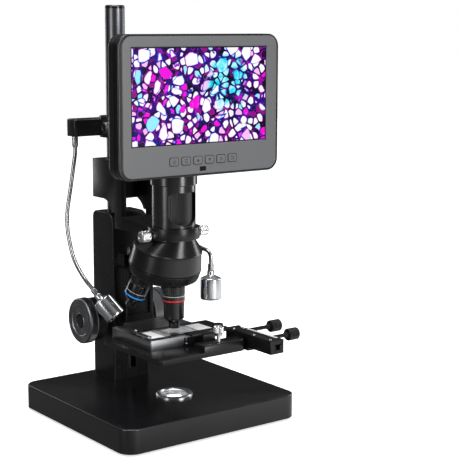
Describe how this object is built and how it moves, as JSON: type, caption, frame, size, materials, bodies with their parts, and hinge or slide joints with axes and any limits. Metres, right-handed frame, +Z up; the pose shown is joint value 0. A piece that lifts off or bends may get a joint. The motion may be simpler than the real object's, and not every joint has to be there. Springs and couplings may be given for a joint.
{
  "type": "digital microscope with screen",
  "caption": "Upright digital microscope: tilting screen over a camera tube, tilted turret of objectives, rack-focused stage with cross slide, and gooseneck lamps on a pole.",
  "frame": {"origin": "centre of the base's footprint, on the plane that its feet stand on", "axes": "+Z up along the pole, -Y towards the user and the screen's face, +X to the user's right where the two stage knobs are"},
  "size_m": [0.217, 0.214, 0.4105],
  "materials": {
    "satin_black": "satin black enamel",
    "column_black": "black anodised, fluted",
    "cast_black": "black satin coat on a casting",
    "chrome": "polished",
    "brushed_steel": "brushed",
    "bright_aluminium": "turned and brushed",
    "black_aluminium": "black anodised, spun faces",
    "screen_grey": "anthracite grey, fine satin",
    "shell_black": "black, fine texture",
    "panel": null,
    "rubber": "matt",
    "clear_glass": "clear",
    "diffuser": "frosted, lit",
    "circuit_board": "green solder mask",
    "battery_blue": "wrapped cell pack",
    "white_scale": "white with fine division lines",
    "lens_black": "black anodised lens barrel",
    "pole_steel": "ground and plated steel tube"
  },
  "bodies": {
    "stand": {"base_casting": "satin_black", "base_cover": "shell_black", "base_feet": "rubber", "illuminator_bezel": "bright_aluminium", "illuminator_lens": "diffuser", "illuminator_board": "circuit_board", "column": "column_black", "guide_rail": "chrome", "pole": "pole_steel", "pole_cap": "shell_black"},
    "focus_drive": {"focus_shaft": "brushed_steel", "focus_knob_left": "black_aluminium", "focus_knob_right": "black_aluminium"},
    "stage": {"stage_carriage": "cast_black", "slide_plate": "chrome", "focus_rack": "brushed_steel", "stage_table": "cast_black", "stage_plate": "black_aluminium", "cross_rail": "black_aluminium"},
    "clamp_screw": {"thumb_screw": "chrome"},
    "cross_slide": {"cross_bar": "black_aluminium", "rule_strip": "white_scale"},
    "y_drive": {"y_knob": "black_aluminium"},
    "x_drive": {"x_knob": "black_aluminium"},
    "slide_carrier": {"slide_holder": "cast_black", "specimen_slide": "clear_glass"},
    "finger": {"clip_finger": "cast_black"},
    "arm": {"camera_arm": "cast_black"},
    "arm_clamp": {"clamp_knob": "shell_black"},
    "left_ring_screw": {"ring_screw_left": "chrome"},
    "right_ring_screw": {"ring_screw_right": "chrome"},
    "head": {"camera_tube": "cast_black", "tube_lens": "lens_black", "camera_board": "circuit_board", "nosepiece_cover": "cast_black", "screen_bracket": "cast_black"},
    "lens_ring": {"focus_ring": "lens_black"},
    "nosepiece": {"turret": "black_aluminium", "objective_high": "lens_black", "objective_medium": "lens_black", "objective_low": "lens_black"},
    "display": {"screen_bezel": "screen_grey", "screen_shell": "shell_black", "screen_panel": "panel", "screen_board": "circuit_board", "battery": "battery_blue", "tilt_pin": "brushed_steel"},
    "lamp_carrier": {"lamp_bar": "cast_black"},
    "lamp_clamp": {"lamp_bar_screw": "chrome"},
    "left_lamp_neck": {"gooseneck_left": "chrome", "lamp_left": "chrome"},
    "right_lamp_neck": {"gooseneck_right": "chrome", "lamp_right": "chrome"},
    "button_power": {"button_power": "screen_grey"},
    "button_menu": {"button_menu": "screen_grey"},
    "button_up": {"button_up": "screen_grey"},
    "button_down": {"button_down": "screen_grey"},
    "button_confirm": {"button_confirm": "screen_grey"},
    "button_back": {"button_back": "screen_grey"}
  },
  "joints": [
    {"name": "stage_focus", "type": "slide", "parent": "stand", "child": "stage", "axis": [0, 0, 1], "range_m": [-0.03, 0.001]},
    {"name": "focus_turn", "type": "hinge", "parent": "stand", "child": "focus_drive", "pos_m": [0, 0.0708, 0.0895], "axis": [1, 0, 0], "range_deg": [-10, 290]},
    {"name": "clamp_screw_turn", "type": "hinge", "parent": "stage", "child": "clamp_screw", "pos_m": [0.02, -0.075, 0.09], "axis": [0, 0, 1], "continuous": true},
    {"name": "y_slide", "type": "slide", "parent": "stage", "child": "cross_slide", "axis": [0, 1, 0], "range_m": [-0.005, 0.02]},
    {"name": "y_knob_turn", "type": "hinge", "parent": "cross_slide", "child": "y_drive", "pos_m": [0.1, -0.082, 0.0835], "axis": [1, 0, 0], "range_deg": [-144, 574]},
    {"name": "x_slide", "type": "slide", "parent": "cross_slide", "child": "slide_carrier", "axis": [1, 0, 0], "range_m": [-0.008, 0.008]},
    {"name": "x_knob_turn", "type": "hinge", "parent": "cross_slide", "child": "x_drive", "pos_m": [0.1, -0.052, 0.086], "axis": [1, 0, 0], "range_deg": [-361, 361]},
    {"name": "finger_open", "type": "hinge", "parent": "slide_carrier", "child": "finger", "pos_m": [-0.036, -0.014, 0.0935], "axis": [0, 0, 1], "range_deg": [-25, 0], "stiffness_Nm_per_rad": 0.02, "springref_deg": 8.59},
    {"name": "arm_height", "type": "slide", "parent": "stand", "child": "arm", "axis": [0, 0, 1], "range_m": [0, 0.02]},
    {"name": "arm_clamp_turn", "type": "hinge", "parent": "arm", "child": "arm_clamp", "pos_m": [0, 0.092, 0.236], "axis": [0, 1, 0], "continuous": true},
    {"name": "left_ring_screw_turn", "type": "hinge", "parent": "arm", "child": "left_ring_screw", "pos_m": [-0.034, -0.028, 0.1895], "axis": [1, 0, 0], "continuous": true},
    {"name": "right_ring_screw_turn", "type": "hinge", "parent": "arm", "child": "right_ring_screw", "pos_m": [0.034, -0.028, 0.1895], "axis": [1, 0, 0], "continuous": true},
    {"name": "head_turn", "type": "hinge", "parent": "arm", "child": "head", "pos_m": [0, -0.028, 0.23], "axis": [0, 0, 1], "range_deg": [-20, 20]},
    {"name": "lens_ring_turn", "type": "hinge", "parent": "head", "child": "lens_ring", "pos_m": [0, -0.028, 0.215], "axis": [0, 0, 1], "range_deg": [-60, 60]},
    {"name": "nosepiece_turn", "type": "hinge", "parent": "head", "child": "nosepiece", "pos_m": [0, -0.028, 0.213], "axis": [0, 0.2588, -0.9659], "continuous": true},
    {"name": "screen_tilt", "type": "hinge", "parent": "head", "child": "display", "pos_m": [0, -0.05, 0.292], "axis": [1, 0, 0], "range_deg": [-25, 5]},
    {"name": "button_power_press", "type": "slide", "parent": "display", "child": "button_power", "axis": [0, 1, 0], "range_m": [0, 0.0007], "stiffness_N_per_m": 150, "springref_m": -0.0004},
    {"name": "button_menu_press", "type": "slide", "parent": "display", "child": "button_menu", "axis": [0, 1, 0], "range_m": [0, 0.0007], "stiffness_N_per_m": 150, "springref_m": -0.0004},
    {"name": "button_up_press", "type": "slide", "parent": "display", "child": "button_up", "axis": [0, 1, 0], "range_m": [0, 0.0007], "stiffness_N_per_m": 150, "springref_m": -0.0004},
    {"name": "button_down_press", "type": "slide", "parent": "display", "child": "button_down", "axis": [0, 1, 0], "range_m": [0, 0.0007], "stiffness_N_per_m": 150, "springref_m": -0.0004},
    {"name": "button_confirm_press", "type": "slide", "parent": "display", "child": "button_confirm", "axis": [0, 1, 0], "range_m": [0, 0.0007], "stiffness_N_per_m": 150, "springref_m": -0.0004},
    {"name": "button_back_press", "type": "slide", "parent": "display", "child": "button_back", "axis": [0, 1, 0], "range_m": [0, 0.0007], "stiffness_N_per_m": 150, "springref_m": -0.0004},
    {"name": "lamp_height", "type": "slide", "parent": "stand", "child": "lamp_carrier", "axis": [0, 0, 1], "range_m": [0, 0.08]},
    {"name": "lamp_clamp_turn", "type": "hinge", "parent": "lamp_carrier", "child": "lamp_clamp", "pos_m": [-0.02, 0.0625, 0.28755], "axis": [1, 0, 0], "continuous": true},
    {"name": "left_neck_swing", "type": "hinge", "parent": "lamp_carrier", "child": "left_lamp_neck", "pos_m": [-0.0435, 0.085, 0.28], "axis": [0, 0, 1], "range_deg": [-25, 0]},
    {"name": "right_neck_swing", "type": "hinge", "parent": "lamp_carrier", "child": "right_lamp_neck", "pos_m": [0.0435, 0.085, 0.28], "axis": [0, 0, 1], "range_deg": [-5, 30]}
  ],
  "couplings": [
    {"joint": "focus_turn", "follows": "stage_focus", "rad_per_m": -166.67},
    {"joint": "y_knob_turn", "follows": "y_slide", "rad_per_m": 500},
    {"joint": "x_knob_turn", "follows": "x_slide", "rad_per_m": 785.4}
  ]
}
